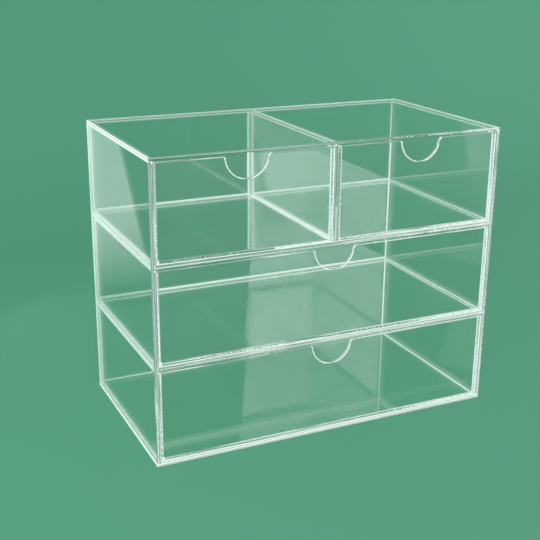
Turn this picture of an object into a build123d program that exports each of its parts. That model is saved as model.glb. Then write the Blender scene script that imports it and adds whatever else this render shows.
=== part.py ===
from build123d import *

import os
from math import sqrt

# A desk organizer of clear acrylic sheet: an open-fronted cabinet with three equal
# tiers and four lift-out drawers. The top tier is split into two small drawers by a
# divider; the other two tiers hold one full-width drawer each.
# Millimetres. +Z is up, the drawer fronts face -Y, and the origin is the middle of
# the cabinet's footprint, on the surface it stands on.

# Driving dimensions of the cabinet
width = 242.0
depth = 130.0
tier_height = 62.4  # clear height between two cabinet sheets
cabinet_sheet = 2.0
divider_sheet = 2.0

# Driving dimensions of the drawers
drawer_sheet = 2.5
side_clearance = 0.5
floor_clearance = 0.2
head_clearance = 1.0
back_clearance = 0.5

# Finger notch in the top edge of every drawer front
notch_radius = 13.5
notch_depth = 14.3
notch_lip_radius = 2.5

# Places that follow from the driving dimensions
tier_pitch = tier_height + cabinet_sheet
height = 3 * tier_pitch + cabinet_sheet
front_y = -depth / 2
back_panel_y = depth / 2 - cabinet_sheet
inner_left = -width / 2 + cabinet_sheet
inner_width = width - 2 * cabinet_sheet
inner_depth = depth - cabinet_sheet
half_tier_width = (inner_width - divider_sheet) / 2


def save(piece, label):
    """Labels a finished piece and writes it as its own STEP file."""
    piece.part.label = label
    export_step(piece.part, f"parts/{label}.step")


def make_sheet(label, corner, size):
    """A rectangular cut of flat sheet, from its lowest corner and its three sizes."""
    with BuildPart() as sheet:
        with BuildSketch(Plane.XY.offset(corner[2])):
            with Locations((corner[0], corner[1])):
                Rectangle(size[0], size[1], align=(Align.MIN, Align.MIN))
        extrude(amount=size[2])
    save(sheet, label)


def make_top_and_base():
    """The two full-size sheets that cap the side panels."""
    plate = (width, depth, cabinet_sheet)
    make_sheet("base_panel", (-width / 2, front_y, 0), plate)
    make_sheet("top_panel", (-width / 2, front_y, height - cabinet_sheet), plate)


def make_cabinet_walls():
    """Two sides between base and top, and the back between the sides."""
    wall_height = height - 2 * cabinet_sheet
    side = (cabinet_sheet, depth, wall_height)
    make_sheet("left_side_panel", (-width / 2, front_y, cabinet_sheet), side)
    make_sheet("right_side_panel", (inner_left + inner_width, front_y, cabinet_sheet), side)
    back = (inner_width, cabinet_sheet, wall_height)
    make_sheet("back_panel", (inner_left, back_panel_y, cabinet_sheet), back)


def make_shelves_and_divider():
    """The two shelves that carry the upper drawers, and the wall between the small ones."""
    shelf = (inner_width, inner_depth, cabinet_sheet)
    make_sheet("lower_shelf", (inner_left, front_y, tier_pitch), shelf)
    make_sheet("upper_shelf", (inner_left, front_y, 2 * tier_pitch), shelf)
    divider_corner = (-divider_sheet / 2, front_y, 2 * tier_pitch + cabinet_sheet)
    make_sheet("centre_divider", divider_corner, (divider_sheet, inner_depth, tier_height))


def make_drawer_front(label, centre_x, floor_z, front_width, front_height):
    """A drawer front with a half-round finger notch that has soft lips."""
    notch_z = front_height - notch_depth + notch_radius
    reach = notch_radius + notch_lip_radius
    lip_z = front_height - notch_lip_radius
    lip_x = sqrt(reach**2 - (lip_z - notch_z) ** 2)
    join_x = lip_x * notch_radius / reach
    join_z = notch_z + (lip_z - notch_z) * notch_radius / reach
    face = Plane(origin=(centre_x, front_y, floor_z), x_dir=(1, 0, 0), z_dir=(0, -1, 0))
    with BuildPart() as front:
        with BuildSketch(face):
            with BuildLine():
                Polyline((lip_x, front_height), (front_width / 2, front_height), (front_width / 2, 0), (0, 0))
                TangentArc((lip_x, front_height), (join_x, join_z), tangent=(-1, 0))
                Line((-lip_x, front_height), (-front_width / 2, front_height))
                Polyline((-front_width / 2, front_height), (-front_width / 2, 0), (0, 0))
                TangentArc((-lip_x, front_height), (-join_x, join_z), tangent=(1, 0))
                ThreePointArc((join_x, join_z), (0, notch_z - notch_radius), (-join_x, join_z))
            make_face()
        extrude(amount=-drawer_sheet)
    save(front, label)


def make_drawer(name, centre_x, floor_z, tier_width):
    """One drawer: its front covers the tray, whose bottom and back lie between the sides."""
    low_z = floor_z + floor_clearance
    outer_width = tier_width - 2 * side_clearance
    outer_height = tier_height - floor_clearance - head_clearance
    tray_y = front_y + drawer_sheet
    tray_depth = inner_depth - back_clearance - drawer_sheet
    left_x = centre_x - outer_width / 2
    tray_width = outer_width - 2 * drawer_sheet
    side = (drawer_sheet, tray_depth, outer_height)
    make_drawer_front(f"{name}_drawer_front", centre_x, low_z, outer_width, outer_height)
    make_sheet(f"{name}_drawer_left_side", (left_x, tray_y, low_z), side)
    make_sheet(f"{name}_drawer_right_side", (left_x + drawer_sheet + tray_width, tray_y, low_z), side)
    make_sheet(
        f"{name}_drawer_bottom",
        (left_x + drawer_sheet, tray_y, low_z),
        (tray_width, tray_depth, drawer_sheet),
    )
    make_sheet(
        f"{name}_drawer_back",
        (left_x + drawer_sheet, tray_y + tray_depth - drawer_sheet, low_z + drawer_sheet),
        (tray_width, drawer_sheet, outer_height - drawer_sheet),
    )


os.makedirs("parts", exist_ok=True)
make_top_and_base()
make_cabinet_walls()
make_shelves_and_divider()
small_drawer_x = (divider_sheet + half_tier_width) / 2
make_drawer("upper_left", -small_drawer_x, 2 * tier_pitch + cabinet_sheet, half_tier_width)
make_drawer("upper_right", small_drawer_x, 2 * tier_pitch + cabinet_sheet, half_tier_width)
make_drawer("middle", 0, tier_pitch + cabinet_sheet, inner_width)
make_drawer("bottom", 0, cabinet_sheet, inner_width)
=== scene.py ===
"""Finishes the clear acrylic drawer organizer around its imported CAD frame, and stages it in a studio."""

import math

import bpy
from mathutils import Matrix, Quaternion, Vector


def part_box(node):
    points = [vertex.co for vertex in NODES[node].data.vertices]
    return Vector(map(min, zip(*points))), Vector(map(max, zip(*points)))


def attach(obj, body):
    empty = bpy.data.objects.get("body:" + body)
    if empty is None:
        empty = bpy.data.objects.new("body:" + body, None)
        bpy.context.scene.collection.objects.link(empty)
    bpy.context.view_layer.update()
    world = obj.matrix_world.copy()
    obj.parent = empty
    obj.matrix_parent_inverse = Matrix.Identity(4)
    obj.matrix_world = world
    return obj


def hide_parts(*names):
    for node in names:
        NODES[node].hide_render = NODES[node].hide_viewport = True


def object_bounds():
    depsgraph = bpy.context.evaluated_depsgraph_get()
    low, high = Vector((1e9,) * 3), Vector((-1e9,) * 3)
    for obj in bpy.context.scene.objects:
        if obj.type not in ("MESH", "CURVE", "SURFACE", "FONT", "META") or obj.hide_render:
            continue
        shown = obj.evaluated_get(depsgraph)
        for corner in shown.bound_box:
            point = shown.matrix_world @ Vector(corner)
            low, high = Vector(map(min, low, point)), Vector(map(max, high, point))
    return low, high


bl_info = {
    "name": "Clear Acrylic Drawer Organizer",
    "version": (1, 0, 0),
    "blender": (4, 5, 0),
    "location": "View3D > Sidebar > Organizer",
    "description": "Polished sheets, cut edges and cement joints for a clear organizer with drawers",
    "category": "Object",
}

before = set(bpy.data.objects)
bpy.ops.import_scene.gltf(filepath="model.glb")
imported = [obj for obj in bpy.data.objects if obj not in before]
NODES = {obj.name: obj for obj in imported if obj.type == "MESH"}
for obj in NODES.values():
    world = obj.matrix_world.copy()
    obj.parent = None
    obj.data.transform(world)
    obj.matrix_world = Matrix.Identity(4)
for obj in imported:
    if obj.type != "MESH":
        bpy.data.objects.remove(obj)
CAD_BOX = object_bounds()
MM = 0.001

AXES = "xyz"
DRAWER_NAMES = ("upper_left", "upper_right", "middle", "bottom")

# The worked edges of each sheet, by the way they face: a sawn end is matt white, a butted one
# stands against another sheet, a wet joint is clear with bubbles and a dry joint is white. Butted
# ends and dry joints also get a painted glow.
# Every other edge is a free, polished one.
SHELL_EDGES = {
    "base_panel": {"-x": "sawn", "+x": "sawn", "-y": "sawn"},
    "top_panel": {"-x": "sawn", "+x": "sawn"},
    "left_side_panel": {"-z": "dry", "+z": "dry", "+y": "sawn"},
    "right_side_panel": {"-z": "dry", "+z": "dry", "+y": "sawn"},
    "back_panel": {"-x": "dry", "+x": "dry", "-z": "wet", "+z": "wet"},
}
SHELF_EDGES = {
    "lower_shelf": {"-x": "butted", "+x": "butted", "+y": "dry"},
    "upper_shelf": {"-x": "butted", "+x": "butted", "+y": "dry"},
    "centre_divider": {"+y": "wet", "-z": "dry", "+z": "wet"},
}
DRAWER_EDGES = {
    "front": {},
    "left_side": {"-y": "wet"},
    "right_side": {"-y": "wet"},
    "bottom": {"-x": "butted", "+x": "butted", "-y": "wet"},
    "back": {"-x": "dry", "+x": "dry", "-z": "dry"},
}

# Camera of the photograph, from the cabinet's corners: angles in degrees, distance in metres
CAMERA_AZIMUTH = -25.193
CAMERA_ELEVATION = 18.757
CAMERA_ROLL = 0.496
CAMERA_DISTANCE = 0.68137
CAMERA_TARGET = Vector((-0.01448, 0.0, 0.0947))
CAMERA_LENS = 65.943
CAMERA_SENSOR = 36.0
LIGHT_AIM = Vector((0.0, 0.0, 0.1))

# The paper sweep, in metres: its floor runs forwards from the backdrop
SWEEP_WIDTH = 12.0
SWEEP_DEPTH = 9.0
SWEEP_HEIGHT = 2.4
SWEEP_BEND = 0.6
SWEEP_BEND_STEPS = 24
BACKDROP_Y = 1.0

AIR_COLOUR = (0.95, 0.98, 0.97)
# Light runs along inside a sheet by many reflections before it leaves at the far edge.
LIGHT_BOUNCES = 96
STRAIGHT_PASSES = 64


class SheetSettings(bpy.types.PropertyGroup):
    """Sizes of the worked edges of every sheet."""

    arris_width: bpy.props.FloatProperty(
        name="Arris Width",
        description="Width of the polished chamfer along each sheet edge",
        default=0.55 * MM,
        unit="LENGTH",
    )
    joint_film: bpy.props.FloatProperty(
        name="Joint Film",
        description="Thickness taken off each sheet for the cement film between two sheets",
        default=0.02 * MM,
        unit="LENGTH",
    )


class AcrylicSettings(bpy.types.PropertyGroup):
    """Colours and surface detail of the clear sheet, with its painted highlights, painted shade and
    painted glow.
    """

    sheet_tint: bpy.props.FloatVectorProperty(
        name="Sheet Tint",
        description="Colour of light that has passed one surface of the sheet",
        default=(0.985, 0.995, 0.99),
        subtype="COLOR",
    )
    edge_tint: bpy.props.FloatVectorProperty(
        name="Edge Tint",
        description="Colour of the cut edges, where light has run along the sheet",
        default=(0.45, 0.60, 0.52),
        subtype="COLOR",
    )
    joint_tint: bpy.props.FloatVectorProperty(
        name="Joint Tint",
        description="Colour of the dull streaks in a sawn end or a dry cemented edge",
        default=(0.88, 0.83, 0.82),
        subtype="COLOR",
    )
    # Painted highlight: the arrises are painted this near-white as bright lines, and the painted glow of
    # edges and joints takes this colour too.
    painted_highlight_and_glow_tint: bpy.props.FloatVectorProperty(
        name="Arris Tint",
        description="Colour of the fine bright line along each edge",
        default=(0.98, 1.0, 0.99),
        subtype="COLOR",
    )
    # Painted shade: the green painted on an arris where it is shown as catching no light.
    painted_shade_arris_colour: bpy.props.FloatVectorProperty(
        name="Dull Arris Tint",
        description="Colour of that line where it catches no light",
        default=(0.34, 0.50, 0.42),
        subtype="COLOR",
    )
    # Painted glow: emission on every arris, which stands in for light that the sheets let out there.
    painted_arris_glow: bpy.props.FloatProperty(
        name="Edge Glow",
        description="Light that the sheets let out at their arrises, where 1 is white paper",
        default=0.26,
    )
    # Painted glow: emission on the white joints and butted ends, which stands in for light the sheets let
    # out there.
    painted_joint_glow: bpy.props.FloatProperty(
        name="Joint Glow",
        description="Light that the sheets let out at their white joints, where 1 is white paper",
        default=0.4,
    )
    refraction: bpy.props.FloatProperty(
        name="Refraction",
        description="Index of refraction of acrylic",
        default=1.49,
    )


class StageSettings(bpy.types.PropertyGroup):
    """Floor, backdrop and lamps."""

    floor_colour: bpy.props.FloatVectorProperty(
        name="Floor Colour",
        description="Colour of the plain floor and backdrop",
        default=(0.125, 0.42, 0.27),
        subtype="COLOR",
    )
    world_strength: bpy.props.FloatProperty(
        name="World Strength",
        description="Strength of the even light from all around",
        default=0.4,
    )
    front_radiance: bpy.props.FloatProperty(
        name="Front Box",
        description="Brightness of the soft box at the front right, where 1 is white paper",
        default=3.8,
    )
    left_radiance: bpy.props.FloatProperty(
        name="Left Box",
        description="Brightness of the soft box at the left, where 1 is white paper",
        default=7.0,
    )
    board_radiance: bpy.props.FloatProperty(
        name="Low Board",
        description="Brightness of the small board low at the back left, where 1 is white paper",
        default=0.38,
    )
    side_radiance: bpy.props.FloatProperty(
        name="Side Box",
        description="Brightness of the soft box at the back right, where 1 is white paper",
        default=4.0,
    )
    top_radiance: bpy.props.FloatProperty(
        name="Top Box",
        description="Brightness of the soft box overhead, where 1 is white paper",
        default=0.7,
    )


def deselect_all():
    """Leaves no object selected."""
    bpy.ops.object.select_all(action="DESELECT")


def make_active(piece):
    """Selects one object alone and makes it the active one."""
    deselect_all()
    piece.select_set(True)
    bpy.context.view_layer.objects.active = piece


# ---------------------------------------------------------------- shader groups

PATCH_EDGE_STEEPNESS = 10.0


def add_node(tree, kind, x, y, **values):
    """A node of that kind at a place in the tree, with its plain properties set."""
    node = tree.nodes.new(kind)
    node.location = (x, y)
    for name, value in values.items():
        setattr(node, name, value)
    return node


def new_group(name, inputs):
    """An empty shader group with those float inputs, a stretch and a lean, and a mask and height out.

    Stretch multiplies the pattern's coordinates, and Lean adds to its patches per metre along each axis.
    """
    group = bpy.data.node_groups.new(name, "ShaderNodeTree")
    for socket_name, default in inputs:
        socket = group.interface.new_socket(socket_name, in_out="INPUT", socket_type="NodeSocketFloat")
        socket.default_value = default
    for socket_name, default in (("Stretch", (1.0, 1.0, 1.0)), ("Lean", (0.0, 0.0, 0.0))):
        socket = group.interface.new_socket(socket_name, in_out="INPUT", socket_type="NodeSocketVector")
        socket.default_value = default
    for socket_name in ("Mask", "Height"):
        group.interface.new_socket(socket_name, in_out="OUTPUT", socket_type="NodeSocketFloat")
    start = add_node(group, "NodeGroupInput", -1100, 0)
    end = add_node(group, "NodeGroupOutput", 700, 0)
    return group, start, end


def sized_texture(group, start, size_name, kind, y, **inputs):
    """A texture in a group whose features are as large as the named input says, in metres."""
    coords = add_node(group, "ShaderNodeTexCoord", -900, y + 100)
    stretched = add_node(group, "ShaderNodeVectorMath", -700, y + 100, operation="MULTIPLY")
    group.links.new(coords.outputs["Object"], stretched.inputs[0])
    group.links.new(start.outputs["Stretch"], stretched.inputs[1])
    scale = add_node(group, "ShaderNodeMath", -700, y - 100, operation="DIVIDE")
    scale.inputs[0].default_value = 1.0
    group.links.new(start.outputs[size_name], scale.inputs[1])
    texture = add_node(group, kind, -500, y)
    group.links.new(stretched.outputs[0], texture.inputs["Vector"])
    group.links.new(scale.outputs[0], texture.inputs["Scale"])
    for name, value in inputs.items():
        texture.inputs[name].default_value = value
    return texture


def cut_mask(group, start, source, span, amount_name, y):
    """A mask that rises from 0 to 1 between the two values of a texture, times the named amount."""
    cut = add_node(group, "ShaderNodeMapRange", -300, y)
    cut.inputs["From Min"].default_value = span[0]
    cut.inputs["From Max"].default_value = span[1]
    group.links.new(source, cut.inputs["Value"])
    mask = add_node(group, "ShaderNodeMath", -100, y, operation="MULTIPLY")
    group.links.new(cut.outputs["Result"], mask.inputs[0])
    group.links.new(start.outputs[amount_name], mask.inputs[1])
    return mask.outputs[0]


def patch_mask(group, start, size_name, level_name, y):
    """Soft-edged patches where a slow noise, leaned along the piece, is over the named level."""
    noise = sized_texture(group, start, size_name, "ShaderNodeTexNoise", y, Detail=1.0)
    coords = add_node(group, "ShaderNodeTexCoord", -700, y - 250)
    lean = add_node(group, "ShaderNodeVectorMath", -500, y - 250, operation="DOT_PRODUCT")
    group.links.new(coords.outputs["Object"], lean.inputs[0])
    group.links.new(start.outputs["Lean"], lean.inputs[1])
    leaned = add_node(group, "ShaderNodeMath", -300, y)
    group.links.new(noise.outputs["Fac"], leaned.inputs[0])
    group.links.new(lean.outputs["Value"], leaned.inputs[1])
    over = add_node(group, "ShaderNodeMath", -150, y, operation="SUBTRACT")
    group.links.new(leaned.outputs[0], over.inputs[0])
    group.links.new(start.outputs[level_name], over.inputs[1])
    mask = add_node(group, "ShaderNodeMath", 0, y, operation="MULTIPLY", use_clamp=True)
    mask.inputs[1].default_value = PATCH_EDGE_STEEPNESS
    group.links.new(over.outputs[0], mask.inputs[0])
    return mask.outputs[0]


def join_masks(group, end, first, second, operation):
    """Two masks added or multiplied into the group's mask, which is returned too."""
    both = add_node(group, "ShaderNodeMath", 200, 100, operation=operation, use_clamp=True)
    group.links.new(first, both.inputs[0])
    group.links.new(second, both.inputs[1])
    group.links.new(both.outputs[0], end.inputs["Mask"])
    return both.outputs[0]


def surface_marks_group():
    """Faint wiping haze and dust specks on a handled sheet, and the slow wave of cast sheet as height."""
    group, start, end = new_group(
        "Surface Marks",
        [
            ("Haze Size", 0.03),
            ("Haze Amount", 0.5),
            ("Speck Size", 0.004),
            ("Speck Amount", 0.5),
            ("Wave Size", 0.08),
        ],
    )
    haze = sized_texture(group, start, "Haze Size", "ShaderNodeTexNoise", 400, Detail=5.0)
    hazy = cut_mask(group, start, haze.outputs["Fac"], (0.5, 0.8), "Haze Amount", y=400)
    specks = sized_texture(group, start, "Speck Size", "ShaderNodeTexVoronoi", 0)
    specked = cut_mask(group, start, specks.outputs["Distance"], (0.08, 0.03), "Speck Amount", y=0)
    join_masks(group, end, hazy, specked, "ADD")
    wave = sized_texture(group, start, "Wave Size", "ShaderNodeTexNoise", -400, Detail=0.0)
    group.links.new(wave.outputs["Fac"], end.inputs["Height"])
    return group


def cut_marks_group():
    """Fine ticks left across an edge by the saw and the polisher, in patches along it."""
    group, start, end = new_group(
        "Cut Marks",
        [("Tick Size", 0.0015), ("Tick Amount", 1.0), ("Patch Size", 0.04), ("Patch Level", 0.5)],
    )
    ticks = sized_texture(group, start, "Tick Size", "ShaderNodeTexNoise", 200, Detail=2.0)
    ticked = cut_mask(group, start, ticks.outputs["Fac"], (0.45, 0.6), "Tick Amount", y=200)
    patched = patch_mask(group, start, "Patch Size", "Patch Level", -200)
    marks = join_masks(group, end, ticked, patched, "MULTIPLY")
    group.links.new(marks, end.inputs["Height"])
    return group


def cement_bubbles_group():
    """Trapped bubbles and dry spots in a solvent joint."""
    group, start, end = new_group(
        "Cement Bubbles",
        [("Bubble Size", 0.0015), ("Bubble Amount", 1.0), ("Dry Size", 0.04), ("Dry Level", 0.5)],
    )
    bubbles = sized_texture(group, start, "Bubble Size", "ShaderNodeTexVoronoi", 200)
    bubbled = cut_mask(group, start, bubbles.outputs["Distance"], (0.5, 0.3), "Bubble Amount", y=200)
    dried = patch_mask(group, start, "Dry Size", "Dry Level", -200)
    marks = join_masks(group, end, bubbled, dried, "MULTIPLY")
    group.links.new(marks, end.inputs["Height"])
    return group


def painted_highlight_stretches_group():
    """Painted highlight: stretches of an edge painted as catching the light, with painted shade between
    them and fine nicks in them.
    """
    group, start, end = new_group(
        "Painted Highlight Stretches",
        [("Nick Size", 0.001), ("Nick Amount", 0.3), ("Patch Size", 0.05), ("Patch Level", 0.5)],
    )
    nicks = sized_texture(group, start, "Nick Size", "ShaderNodeTexNoise", 200, Detail=2.0)
    nicked = cut_mask(group, start, nicks.outputs["Fac"], (0.55, 0.7), "Nick Amount", y=200)
    # Painted highlight: patches of the edge painted as lit, the rest painted as shade.
    painted_lit = patch_mask(group, start, "Patch Size", "Patch Level", -200)
    join_masks(group, end, painted_lit, nicked, "SUBTRACT")
    group.links.new(nicks.outputs["Fac"], end.inputs["Height"])
    return group


GROUP_MAKERS = {
    "Painted Highlight Stretches": painted_highlight_stretches_group,
    "Surface Marks": surface_marks_group,
    "Cut Marks": cut_marks_group,
    "Cement Bubbles": cement_bubbles_group,
}


def place_group(tree, name, values):
    """The named group in a material with its own values, built the first time it is asked for."""
    group = bpy.data.node_groups.get(name) or GROUP_MAKERS[name]()
    node = add_node(tree, "ShaderNodeGroup", -700, 0, node_tree=group)
    for socket_name, value in values.items():
        node.inputs[socket_name].default_value = value
    return node


# ---------------------------------------------------------------- materials


def acrylic_material(name, group_name, values, colours, roughness, bump, transmission, painted_glow=0.0):
    """Acrylic whose colour and roughness go from the first to the second value with a group's mask.

    Bump is a strength and a depth in metres, and the same name gives the same material again. The
    painted glow is emission that stands in for light a sheet gathers over its faces and lets out at this
    edge.
    """
    found = bpy.data.materials.get(name)
    if found:
        return found
    material = bpy.data.materials.new(name)
    material.use_nodes = True
    tree = material.node_tree
    tree.nodes.clear()
    links = tree.links
    acrylic = bpy.context.scene.organizer_acrylic
    marks = place_group(tree, group_name, values)
    colour = add_node(tree, "ShaderNodeMix", -400, 250, data_type="RGBA")
    colour.inputs["A"].default_value = (*colours[0], 1.0)
    colour.inputs["B"].default_value = (*colours[1], 1.0)
    links.new(marks.outputs["Mask"], colour.inputs["Factor"])
    rough = add_node(tree, "ShaderNodeMapRange", -400, 0)
    rough.inputs["To Min"].default_value = roughness[0]
    rough.inputs["To Max"].default_value = roughness[1]
    links.new(marks.outputs["Mask"], rough.inputs["Value"])
    bumps = add_node(tree, "ShaderNodeBump", -400, -300)
    bumps.inputs["Strength"].default_value = bump[0]
    bumps.inputs["Distance"].default_value = bump[1]
    links.new(marks.outputs["Height"], bumps.inputs["Height"])
    shader = add_node(tree, "ShaderNodeBsdfPrincipled", -100, 100)
    shader.inputs["IOR"].default_value = acrylic.refraction
    shader.inputs["Transmission Weight"].default_value = transmission
    # Painted glow: an edge or joint with a glow gives out light of its own in this colour, though it is no
    # lamp.
    shader.inputs["Emission Color"].default_value = (*acrylic.painted_highlight_and_glow_tint, 1.0)
    shader.inputs["Emission Strength"].default_value = painted_glow
    links.new(colour.outputs["Result"], shader.inputs["Base Color"])
    links.new(rough.outputs["Result"], shader.inputs["Roughness"])
    links.new(bumps.outputs["Normal"], shader.inputs["Normal"])
    # Lamps and soft bounced light pass straight through the thin sheets.
    rays = add_node(tree, "ShaderNodeLightPath", -400, 600)
    passes = add_node(tree, "ShaderNodeMath", -150, 500, operation="MAXIMUM")
    links.new(rays.outputs["Is Shadow Ray"], passes.inputs[0])
    links.new(rays.outputs["Is Diffuse Ray"], passes.inputs[1])
    through = add_node(tree, "ShaderNodeBsdfTransparent", -100, -400)
    through.inputs["Color"].default_value = (*acrylic.sheet_tint, 1.0)
    either = add_node(tree, "ShaderNodeMixShader", 200, 200)
    links.new(passes.outputs[0], either.inputs["Fac"])
    links.new(shader.outputs["BSDF"], either.inputs[1])
    links.new(through.outputs["BSDF"], either.inputs[2])
    output = add_node(tree, "ShaderNodeOutputMaterial", 450, 200)
    links.new(either.outputs["Shader"], output.inputs["Surface"])
    return material


def across(thin, share):
    """A stretch that leaves a share of a pattern's change across the sheet, so ticks cross an edge."""
    return tuple(share if axis == thin else 1.0 for axis in AXES)


def along(thin, share):
    """A stretch that leaves a share of a pattern's change along the sheet, so streaks follow an edge."""
    return tuple(1.0 if axis == thin else share for axis in AXES)


def sheet_face_material():
    """The polished face of the sheet: clear, with faint haze and dust."""
    tint = bpy.context.scene.organizer_acrylic.sheet_tint
    return acrylic_material(
        "clear_sheet_face",
        "Surface Marks",
        {
            "Haze Size": 0.035,
            "Haze Amount": 0.3,
            "Speck Size": 0.005,
            "Speck Amount": 0.8,
            "Wave Size": 0.08,
        },
        colours=(tint, (0.96, 0.97, 0.96)),
        roughness=(0.0, 0.05),
        bump=(0.02, 0.1 * MM),
        transmission=1.0,
    )


def cut_edge_material(thin):
    """A free edge: sawn and polished clear, with ticks across it in places."""
    return acrylic_material(
        f"polished_cut_edge_{thin}",
        "Cut Marks",
        {
            "Tick Size": 0.0016,
            "Patch Size": 0.045,
            "Patch Level": 0.56,
            "Stretch": across(thin, 0.1),
            "Lean": (0.9, 0.0, 0.0),
        },
        colours=(bpy.context.scene.organizer_acrylic.edge_tint, (0.97, 0.98, 0.97)),
        roughness=(0.0, 0.4),
        bump=(0.2, 0.2 * MM),
        transmission=1.0,
    )


def wet_joint_material(thin):
    """A cemented edge that is mostly clear, with trapped bubbles in places."""
    return acrylic_material(
        f"clear_joint_{thin}",
        "Cement Bubbles",
        {"Bubble Size": 0.0014, "Dry Size": 0.05, "Dry Level": 0.5, "Stretch": across(thin, 0.5)},
        colours=(bpy.context.scene.organizer_acrylic.sheet_tint, (0.98, 0.98, 0.97)),
        roughness=(0.0, 0.5),
        bump=(0.4, 0.3 * MM),
        transmission=0.95,
    )


def dry_joint_material(thin):
    """A cemented edge with little cement in it, which shows white through the sheet."""
    acrylic = bpy.context.scene.organizer_acrylic
    return acrylic_material(
        f"frosted_joint_{thin}",
        "Cement Bubbles",
        {"Bubble Size": 0.0012, "Dry Size": 0.02, "Dry Level": 0.36, "Stretch": across(thin, 0.3)},
        colours=(acrylic.joint_tint, (1.0, 1.0, 1.0)),
        roughness=(0.3, 0.7),
        bump=(0.1, 0.1 * MM),
        transmission=0.1,
        # Painted glow on the white joint, though it is no lamp.
        painted_glow=acrylic.painted_joint_glow,
    )


def sawn_end_material(thin, name="sawn_end", painted_glow=0.0):
    """The matt end of a sheet, with the saw's streaks along it."""
    return acrylic_material(
        f"{name}_{thin}",
        "Cut Marks",
        {"Tick Size": 0.0009, "Patch Size": 0.003, "Patch Level": 0.5, "Stretch": along(thin, 0.06)},
        colours=((1.0, 1.0, 1.0), bpy.context.scene.organizer_acrylic.joint_tint),
        roughness=(0.4, 0.7),
        bump=(0.1, 0.1 * MM),
        transmission=0.1,
        # A painted glow, when one is given, as for a butted end.
        painted_glow=painted_glow,
    )


def butted_end_material(thin):
    """A sawn end that stands against another sheet, with a painted glow for the light it would get from
    both sides.
    """
    return sawn_end_material(thin, "butted_end", bpy.context.scene.organizer_acrylic.painted_joint_glow)


def arris_material(thin):
    """The fine flamed chamfer along every edge, painted opaque white as a bright line: a painted highlight
    in stretches, with painted shade between them and a painted glow.
    """
    acrylic = bpy.context.scene.organizer_acrylic
    return acrylic_material(
        f"painted_highlight_arris_{thin}",
        "Painted Highlight Stretches",
        {"Nick Size": 0.0008, "Nick Amount": 0.3, "Patch Level": 0.2, "Stretch": across(thin, 0.5)},
        colours=(acrylic.painted_shade_arris_colour, acrylic.painted_highlight_and_glow_tint),
        roughness=(0.5, 0.3),
        bump=(0.1, 0.1 * MM),
        transmission=0.0,
        # Painted glow along every arris, though it is no lamp.
        painted_glow=acrylic.painted_arris_glow,
    )


def painted_light_front_arris_material(thin):
    """The same chamfer at the cabinet's front, with painted shade at the top left and a painted highlight
    at the bottom right.
    """
    acrylic = bpy.context.scene.organizer_acrylic
    return acrylic_material(
        f"front_arris_{thin}",
        "Painted Highlight Stretches",
        {
            "Nick Size": 0.0008,
            "Nick Amount": 0.4,
            "Patch Size": 0.06,
            "Patch Level": 0.3,
            "Stretch": across(thin, 0.5),
            # Painted shade and highlight: the lit patches lean towards the right and the bottom.
            "Lean": (1.2, 0.0, -1.5),
        },
        colours=(acrylic.painted_shade_arris_colour, acrylic.painted_highlight_and_glow_tint),
        roughness=(0.5, 0.3),
        bump=(0.1, 0.1 * MM),
        transmission=0.0,
    )


# ---------------------------------------------------------------- sheets

FACE_SLOT, CUT_SLOT, WET_SLOT, DRY_SLOT, SAWN_SLOT, BUTTED_SLOT, ARRIS_SLOT, FRONT_ARRIS_SLOT = range(8)
EDGE_SLOTS = {"wet": WET_SLOT, "dry": DRY_SLOT, "sawn": SAWN_SLOT, "butted": BUTTED_SLOT}
FRONT_Y = CAD_BOX[0][1]

# How far behind the front a level or an upright chamfer still counts as a front one
LEVEL_REACH = 4 * MM
UPRIGHT_REACH = 1 * MM
# Parts of a unit normal: along an axis, turned to the front, and turned off a straight edge
ALONG_AXIS = 0.99
TURNED_FRONT = 0.3
TURNED_OFF = 0.1

DOUBLES = 0.001 * MM
FLAT_ANGLE = math.radians(1)
SMOOTH_ANGLE = math.radians(15)
SHARP_ANGLE = math.radians(40)
ARRIS_STEPS = 2


def side_of(normal):
    """The name of the axis direction that a normal points along, such as +x, or None for a slanted one."""
    for index, axis in enumerate(AXES):
        if abs(normal[index]) > ALONG_AXIS:
            return ("+" if normal[index] > 0 else "-") + axis
    return None


def thin_axis(node):
    """The axis letter along the sheet's thickness."""
    low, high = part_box(node)
    sizes = [high[i] - low[i] for i in range(3)]
    return AXES[sizes.index(min(sizes))]


def sheet_materials(thin):
    """The eight finishes of one sheet, in the order of the slots above."""
    makers = (
        cut_edge_material,
        wet_joint_material,
        dry_joint_material,
        sawn_end_material,
        butted_end_material,
        arris_material,
        painted_light_front_arris_material,
    )
    return [sheet_face_material()] + [maker(thin) for maker in makers]


def is_straight_front_arris(face):
    """Whether a chamfer's face lies along a straight edge at the front, not round a notch.

    A level edge just behind a drawer's front counts too, and an upright one there doesn't.
    """
    turned = min(abs(face.normal.x), abs(face.normal.z))
    reach = LEVEL_REACH if abs(face.normal.z) > abs(face.normal.x) else UPRIGHT_REACH
    return face.normal.y < -TURNED_FRONT and turned < TURNED_OFF and face.center.y < FRONT_Y + reach


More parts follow.
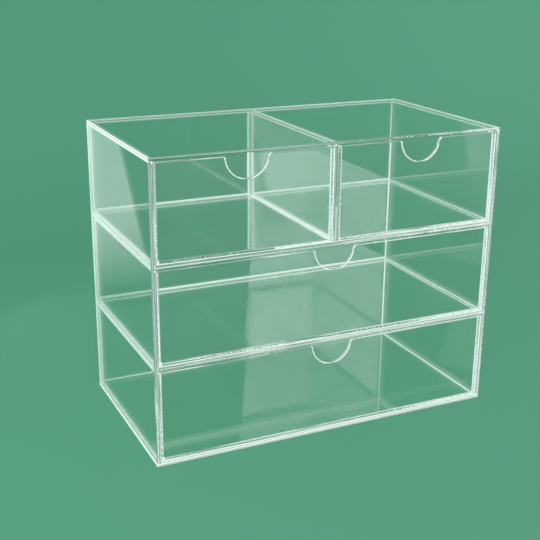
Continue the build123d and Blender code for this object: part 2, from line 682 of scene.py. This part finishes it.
def finish_sheet(node, edges, body):
    """Makes the shown piece for one CAD sheet: its own mesh with arrises painted as bright lines, and
    worked edges.
    """
    settings = bpy.context.scene.organizer_sheet
    thin = thin_axis(node)
    piece = bpy.data.objects.new(node + "_sheet", NODES[node].data.copy())
    bpy.context.scene.collection.objects.link(piece)
    piece.data.materials.clear()
    for material in sheet_materials(thin):
        piece.data.materials.append(material)
    make_active(piece)
    bpy.ops.object.mode_set(mode="EDIT")
    bpy.ops.mesh.select_all(action="SELECT")
    bpy.ops.mesh.customdata_custom_splitnormals_clear()
    bpy.ops.mesh.remove_doubles(threshold=DOUBLES)
    bpy.ops.mesh.dissolve_limited(angle_limit=FLAT_ANGLE)
    bpy.ops.mesh.select_all(action="DESELECT")
    bpy.ops.mesh.select_mode(type="EDGE")
    bpy.ops.mesh.edges_select_sharp(sharpness=SHARP_ANGLE)
    bpy.ops.object.mode_set(mode="OBJECT")
    for face in piece.data.polygons:
        side = side_of(face.normal)
        if side and side[1] == thin:
            face.material_index = FACE_SLOT
        else:
            face.material_index = EDGE_SLOTS.get(edges.get(side), CUT_SLOT)
    bpy.ops.object.mode_set(mode="EDIT")
    bpy.ops.mesh.bevel(
        offset=settings.arris_width, segments=ARRIS_STEPS, affect="EDGES", material=ARRIS_SLOT
    )
    bpy.ops.mesh.select_all(action="SELECT")
    bpy.ops.transform.shrink_fatten(value=-settings.joint_film)
    bpy.ops.object.mode_set(mode="OBJECT")
    # Front arrises take the painted shade and highlight that runs from the top left to the bottom right.
    if edges.get("-y") != "sawn":
        for face in piece.data.polygons:
            if face.material_index == ARRIS_SLOT and is_straight_front_arris(face):
                face.material_index = FRONT_ARRIS_SLOT
    bpy.ops.object.shade_smooth_by_angle(angle=SMOOTH_ANGLE)
    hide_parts(node)
    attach(piece, body)


class ORGANIZER_OT_cabinet_shell(bpy.types.Operator):
    """Finish the base, top, side and back panels"""

    bl_idname = "organizer.cabinet_shell"
    bl_label = "Cabinet Shell"

    def execute(self, context):
        for node, edges in SHELL_EDGES.items():
            finish_sheet(node, edges, "cabinet")
        return {"FINISHED"}


class ORGANIZER_OT_shelves(bpy.types.Operator):
    """Finish the two shelves and the divider between the small drawers"""

    bl_idname = "organizer.shelves"
    bl_label = "Shelves and Divider"

    def execute(self, context):
        for node, edges in SHELF_EDGES.items():
            finish_sheet(node, edges, "cabinet")
        return {"FINISHED"}


class ORGANIZER_OT_drawers(bpy.types.Operator):
    """Finish the five sheets of each of the four drawers"""

    bl_idname = "organizer.drawers"
    bl_label = "Drawers"

    def execute(self, context):
        for name in DRAWER_NAMES:
            for sheet, edges in DRAWER_EDGES.items():
                finish_sheet(f"{name}_drawer_{sheet}", edges, f"{name}_drawer")
        return {"FINISHED"}


# ---------------------------------------------------------------- stage


def camera_axes():
    """The camera's right, up and backward directions in the row frame."""
    azimuth = math.radians(CAMERA_AZIMUTH)
    elevation = math.radians(CAMERA_ELEVATION)
    back = Vector(
        (
            math.sin(azimuth) * math.cos(elevation),
            -math.cos(azimuth) * math.cos(elevation),
            math.sin(elevation),
        )
    )
    right = (-back).cross(Vector((0, 0, 1))).normalized()
    up = right.cross(-back)
    roll = math.radians(CAMERA_ROLL)
    rolled_right = right * math.cos(roll) + up * math.sin(roll)
    rolled_up = up * math.cos(roll) - right * math.sin(roll)
    return rolled_right, rolled_up, back


def place_camera():
    """A camera at the photograph's place and lens, which becomes the scene's camera."""
    right, up, back = camera_axes()
    data = bpy.data.cameras.new("photo_camera")
    data.lens = CAMERA_LENS
    data.sensor_width = CAMERA_SENSOR
    camera = bpy.data.objects.new("photo_camera", data)
    bpy.context.scene.collection.objects.link(camera)
    turn = Matrix((right, up, back)).transposed().to_4x4()
    camera.matrix_world = Matrix.Translation(CAMERA_TARGET + back * CAMERA_DISTANCE) @ turn
    bpy.context.scene.camera = camera


def backdrop_material():
    """Plain matt paper."""
    settings = bpy.context.scene.organizer_stage
    material = bpy.data.materials.new("backdrop_paper")
    material.use_nodes = True
    shader = material.node_tree.nodes["Principled BSDF"]
    shader.inputs["Base Color"].default_value = (*settings.floor_colour, 1.0)
    shader.inputs["Roughness"].default_value = 0.7
    shader.inputs["Specular IOR Level"].default_value = 0.2
    return material


def select_back_edge(sweep):
    """Selects the edge where the floor ends at the backdrop, and leaves the sweep in edit mode."""
    bpy.ops.object.mode_set(mode="EDIT")
    bpy.ops.mesh.select_mode(type="EDGE")
    bpy.ops.mesh.select_all(action="DESELECT")
    bpy.ops.object.mode_set(mode="OBJECT")
    for edge in sweep.data.edges:
        ends = [sweep.data.vertices[v].co for v in edge.vertices]
        edge.select = all(abs(p.y - BACKDROP_Y) < DOUBLES and abs(p.z) < DOUBLES for p in ends)
    bpy.ops.object.mode_set(mode="EDIT")


def make_sweep():
    """A paper sweep: the floor, a rounded corner behind the object and an upright backdrop."""
    deselect_all()
    bpy.ops.mesh.primitive_plane_add(size=1, location=(0, 0, 0))
    sweep = bpy.context.object
    sweep.name = "paper_sweep"
    sweep.scale = (SWEEP_WIDTH, SWEEP_DEPTH, 1.0)
    sweep.location = (0, BACKDROP_Y - SWEEP_DEPTH / 2, 0)
    bpy.ops.object.transform_apply(location=True, rotation=False, scale=True)
    select_back_edge(sweep)
    bpy.ops.mesh.extrude_region_move(TRANSFORM_OT_translate={"value": (0, 0, SWEEP_HEIGHT)})
    select_back_edge(sweep)
    bpy.ops.mesh.bevel(offset=SWEEP_BEND, segments=SWEEP_BEND_STEPS, affect="EDGES")
    bpy.ops.object.mode_set(mode="OBJECT")
    bpy.ops.object.shade_smooth()
    sweep.data.materials.append(backdrop_material())


# Strength at a soft box's foot, strength above it, and the share of its height where that starts.
# A box is dimmer at its foot, because a level sheet mirrors that part the most.
BOX_FADE = (0.4, 1.0, 1.0)
BOARD_FADE = (0.0, 1.0, 0.35)


def fade_upwards(light, foot, top, share):
    """Takes a soft box from one strength at its foot to another at that share of its height."""
    light.use_nodes = True
    tree = light.node_tree
    place = add_node(tree, "ShaderNodeNewGeometry", -600, 0)
    split = add_node(tree, "ShaderNodeSeparateXYZ", -400, 0)
    fade = add_node(tree, "ShaderNodeMapRange", -200, 0)
    fade.inputs["From Max"].default_value = share
    fade.inputs["To Min"].default_value = foot
    fade.inputs["To Max"].default_value = top
    tree.links.new(place.outputs["Parametric"], split.inputs[0])
    tree.links.new(split.outputs["Y"], fade.inputs["Value"])
    tree.links.new(fade.outputs["Result"], tree.nodes["Emission"].inputs["Strength"])


def add_soft_box(name, azimuth, elevation, distance, size, radiance, tilt=0.0, fade=BOX_FADE):
    """Adds a rectangular soft light aimed at the cabinet, which the camera doesn't see.

    Azimuth is in degrees to the right of the cabinet's front, and elevation above the floor.
    """
    data = bpy.data.lights.new(name, "AREA")
    data.shape = "RECTANGLE"
    data.size, data.size_y = size
    data.energy = radiance * math.pi * size[0] * size[1]
    fade_upwards(data, *fade)
    lamp = bpy.data.objects.new(name, data)
    bpy.context.scene.collection.objects.link(lamp)
    around, up = math.radians(azimuth), math.radians(elevation)
    direction = -Vector((math.sin(around) * math.cos(up), -math.cos(around) * math.cos(up), math.sin(up)))
    lamp.location = LIGHT_AIM - direction * distance
    lamp.rotation_mode = "QUATERNION"
    tilted = Quaternion((0, 0, 1), math.radians(tilt))
    lamp.rotation_quaternion = direction.to_track_quat("-Z", "Y") @ tilted
    lamp.visible_camera = False


class ORGANIZER_OT_stage(bpy.types.Operator):
    """Add the floor, soft boxes, world and camera"""

    bl_idname = "organizer.stage"
    bl_label = "Studio Stage"

    def execute(self, context):
        settings = context.scene.organizer_stage
        scene = context.scene
        place_camera()
        make_sweep()
        add_soft_box(
            "front_box",
            azimuth=37.7,
            elevation=20.0,
            distance=1.5,
            size=(0.65, 0.65),
            radiance=settings.front_radiance,
        )
        add_soft_box(
            "left_box",
            azimuth=-70.0,
            elevation=25.0,
            distance=1.5,
            size=(0.9, 0.9),
            radiance=settings.left_radiance,
        )
        add_soft_box(
            "low_board",
            azimuth=-148.0,
            elevation=-2.0,
            distance=0.295,
            size=(0.1, 0.17),
            radiance=settings.board_radiance,
            tilt=12.0,
            fade=BOARD_FADE,
        )
        add_soft_box(
            "right_box",
            azimuth=120.0,
            elevation=30.0,
            distance=1.5,
            size=(0.6, 0.6),
            radiance=settings.side_radiance,
        )
        add_soft_box(
            "top_box",
            azimuth=0.0,
            elevation=85.0,
            distance=1.8,
            size=(1.2, 1.0),
            radiance=settings.top_radiance,
        )
        world = bpy.data.worlds.new("studio_air")
        world.use_nodes = True
        background = world.node_tree.nodes["Background"]
        background.inputs["Color"].default_value = (*AIR_COLOUR, 1.0)
        background.inputs["Strength"].default_value = settings.world_strength
        scene.world = world
        scene.view_settings.view_transform = "Standard"
        scene.cycles.max_bounces = LIGHT_BOUNCES
        scene.cycles.transmission_bounces = LIGHT_BOUNCES
        scene.cycles.glossy_bounces = LIGHT_BOUNCES
        scene.cycles.transparent_max_bounces = STRAIGHT_PASSES
        return {"FINISHED"}


class ORGANIZER_PT_panel(bpy.types.Panel):
    """Lists the steps that finish the organizer"""

    bl_idname = "ORGANIZER_PT_panel"
    bl_label = "Drawer Organizer"
    bl_space_type = "VIEW_3D"
    bl_region_type = "UI"
    bl_category = "Organizer"

    def draw(self, context):
        layout = self.layout
        for operator in OPERATORS:
            layout.operator(operator.bl_idname)
        layout.prop(context.scene.organizer_sheet, "arris_width")
        layout.prop(context.scene.organizer_acrylic, "sheet_tint")
        layout.prop(context.scene.organizer_stage, "floor_colour")


OPERATORS = (
    ORGANIZER_OT_stage,
    ORGANIZER_OT_cabinet_shell,
    ORGANIZER_OT_shelves,
    ORGANIZER_OT_drawers,
)
CLASSES = (SheetSettings, AcrylicSettings, StageSettings, *OPERATORS, ORGANIZER_PT_panel)


def register():
    for cls in CLASSES:
        bpy.utils.register_class(cls)
    bpy.types.Scene.organizer_sheet = bpy.props.PointerProperty(type=SheetSettings)
    bpy.types.Scene.organizer_acrylic = bpy.props.PointerProperty(type=AcrylicSettings)
    bpy.types.Scene.organizer_stage = bpy.props.PointerProperty(type=StageSettings)


def unregister():
    del bpy.types.Scene.organizer_stage
    del bpy.types.Scene.organizer_acrylic
    del bpy.types.Scene.organizer_sheet
    for cls in reversed(CLASSES):
        bpy.utils.unregister_class(cls)


def main():
    """Builds everything."""
    register()
    bpy.ops.organizer.stage()
    bpy.ops.organizer.cabinet_shell()
    bpy.ops.organizer.shelves()
    bpy.ops.organizer.drawers()


if __name__ == "__main__":
    main()
